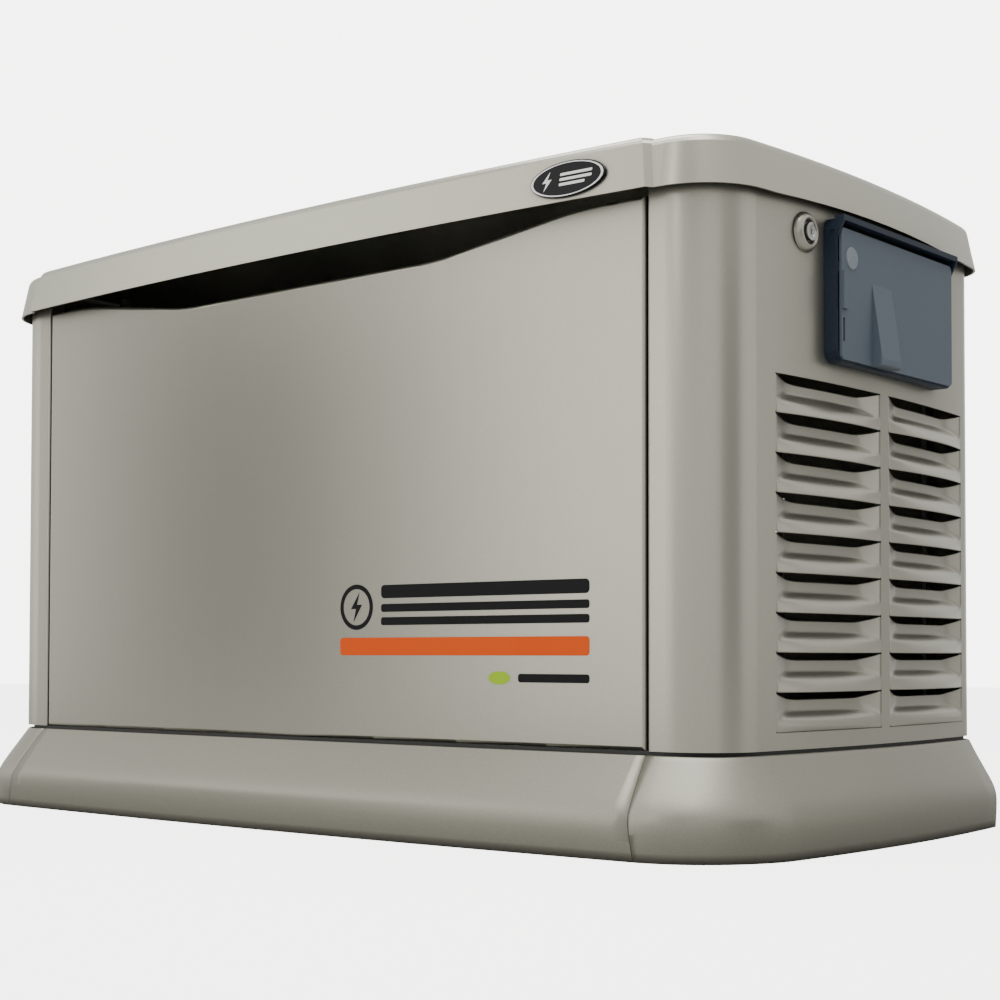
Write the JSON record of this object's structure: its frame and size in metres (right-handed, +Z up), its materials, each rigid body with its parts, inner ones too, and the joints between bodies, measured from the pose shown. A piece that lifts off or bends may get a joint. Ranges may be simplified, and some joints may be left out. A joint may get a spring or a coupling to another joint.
{
  "type": "home standby generator",
  "caption": "Home standby generator: beige sheet-metal enclosure with hinged lid, louvred ends and flared base, holding a V-twin engine, alternator, battery and controls.",
  "frame": {"origin": "centre of the footprint at pad level", "axes": "+X along the length towards the control end with the viewing cover, -Y out of the front, +Z up"},
  "size_m": [1.294, 0.6859, 0.732],
  "materials": {
    "enclosure_paint": "satin champagne-beige metallic powder coat",
    "fascia_paint": "moulded fascia in the same beige",
    "galvanised": "galvanised sheet",
    "badge": "gloss black oval with a plain silver graphic",
    "zinc_steel": "zinc-plated",
    "bright_steel": "ground steel",
    "lock_chrome": "polished",
    "cover_frame": "navy-black moulding",
    "cover_plastic": "slate blue-grey moulding",
    "lens": "translucent grey",
    "breaker_case": "black moulding",
    "toggle": "black",
    "mount_rubber": "moulded rubber",
    "cast_aluminium": "as cast",
    "black_paint": "semi-gloss black",
    "forged_steel": "ground and forged",
    "plug_steel": "plated",
    "black_plastic": "moulded",
    "filter_paint": "gloss enamel",
    "dipstick_yellow": "yellow",
    "hot_steel": "heat-tinted",
    "aluminised_steel": "aluminised",
    "copper_winding": "varnished copper and laminations",
    "rotor_steel": "laminated core",
    "battery_case": "ribbed black case with lead posts",
    "cable": "insulated cable",
    "brass_body": "die-cast",
    "hose_rubber": "reinforced hose",
    "control_case": "textured black",
    "control_panel": "printed membrane panel",
    "key_plastic": "moulded"
  },
  "bodies": {
    "enclosure": {"air_cleaner": "black_plastic", "base_pan": "galvanised", "battery": "battery_case", "battery_cables": "cable", "bearing_carrier": "cast_aluminium", "blower_housing": "black_paint", "breaker": "breaker_case", "breaker_bracket": "galvanised", "control_box": "control_case", "control_bulkhead": "galvanised", "control_face": "control_panel", "cover_bezel": "cover_frame", "cover_pin": "bright_steel", "crankcase": "cast_aluminium", "cylinder_heads": "cast_aluminium", "cylinders": "cast_aluminium", "engine_adapter": "cast_aluminium", "exhaust_divider": "galvanised", "exhaust_pipes": "hot_steel", "fascia_front": "fascia_paint", "fascia_left": "fascia_paint", "fascia_rear": "fascia_paint", "fascia_right": "fascia_paint", "fuel_hose": "hose_rubber", "fuel_regulator": "brass_body", "hinge_body_leaves": "zinc_steel", "hinge_pins": "bright_steel", "intake_manifold": "cast_aluminium", "left_end_panel": "enclosure_paint", "lock_barrels": "lock_chrome", "mixer": "cast_aluminium", "mount_rails": "galvanised", "muffler": "aluminised_steel", "oil_filter": "filter_paint", "rear_bearing": "bright_steel", "rear_panel": "enclosure_paint", "right_end_panel": "enclosure_paint", "rubber_mounts": "mount_rubber", "spark_plugs": "plug_steel", "starter_motor": "black_paint", "stator": "copper_winding", "stator_can": "black_paint", "valve_covers": "black_paint"},
    "lid": {"lid": "enclosure_paint", "lid_badge": "badge", "lid_keepers": "galvanised", "hinge_lid_leaves": "zinc_steel"},
    "front_panel": {"front_panel": "enclosure_paint"},
    "cover_door": {"cover_door": "cover_plastic", "cover_lens": "lens"},
    "lock_right": {"lock_plug_right": "zinc_steel"},
    "lock_left": {"lock_plug_left": "zinc_steel"},
    "breaker_toggle": {"breaker_toggle": "toggle"},
    "key_auto": {"key_auto": "key_plastic"},
    "key_manual": {"key_manual": "key_plastic"},
    "key_off": {"key_off": "key_plastic"},
    "spinning_train": {"crankshaft": "forged_steel", "flywheel_fan": "cast_aluminium", "rotor": "rotor_steel"},
    "dipstick": {"dipstick": "dipstick_yellow"}
  },
  "joints": [
    {"name": "lid_hinge", "type": "hinge", "parent": "enclosure", "child": "lid", "pos_m": [0, 0.294, 0.666], "axis": [-1, 0, 0], "range_deg": [0, 95]},
    {"name": "front_panel_pull", "type": "slide", "parent": "enclosure", "child": "front_panel", "axis": [0, -1, 0], "range_m": [0, 0.25]},
    {"name": "cover_door_hinge", "type": "hinge", "parent": "enclosure", "child": "cover_door", "pos_m": [0.612, 0.03, 0.647], "axis": [0, -1, 0], "range_deg": [0, 90]},
    {"name": "lock_right_turn", "type": "hinge", "parent": "enclosure", "child": "lock_right", "pos_m": [0.6, -0.135, 0.642], "axis": [1, 0, 0], "range_deg": [-90, 0]},
    {"name": "lock_left_turn", "type": "hinge", "parent": "enclosure", "child": "lock_left", "pos_m": [-0.6, -0.135, 0.642], "axis": [1, 0, 0], "range_deg": [-90, 0]},
    {"name": "breaker_throw", "type": "hinge", "parent": "enclosure", "child": "breaker_toggle", "pos_m": [0.557, 0.03, 0.579], "axis": [0, -1, 0], "range_deg": [0, 40]},
    {"name": "key_auto_press", "type": "slide", "parent": "enclosure", "child": "key_auto", "axis": [0, 0.866, -0.5], "range_m": [0, 0.0015], "stiffness_N_per_m": 400},
    {"name": "key_manual_press", "type": "slide", "parent": "enclosure", "child": "key_manual", "axis": [0, 0.866, -0.5], "range_m": [0, 0.0015], "stiffness_N_per_m": 400},
    {"name": "key_off_press", "type": "slide", "parent": "enclosure", "child": "key_off", "axis": [0, 0.866, -0.5], "range_m": [0, 0.0015], "stiffness_N_per_m": 400},
    {"name": "engine_spin", "type": "hinge", "parent": "enclosure", "child": "spinning_train", "pos_m": [0, 0.015, 0.255], "axis": [1, 0, 0], "continuous": true},
    {"name": "dipstick_pull", "type": "slide", "parent": "enclosure", "child": "dipstick", "axis": [0, 0, 1], "range_m": [0, 0.12]}
  ]
}
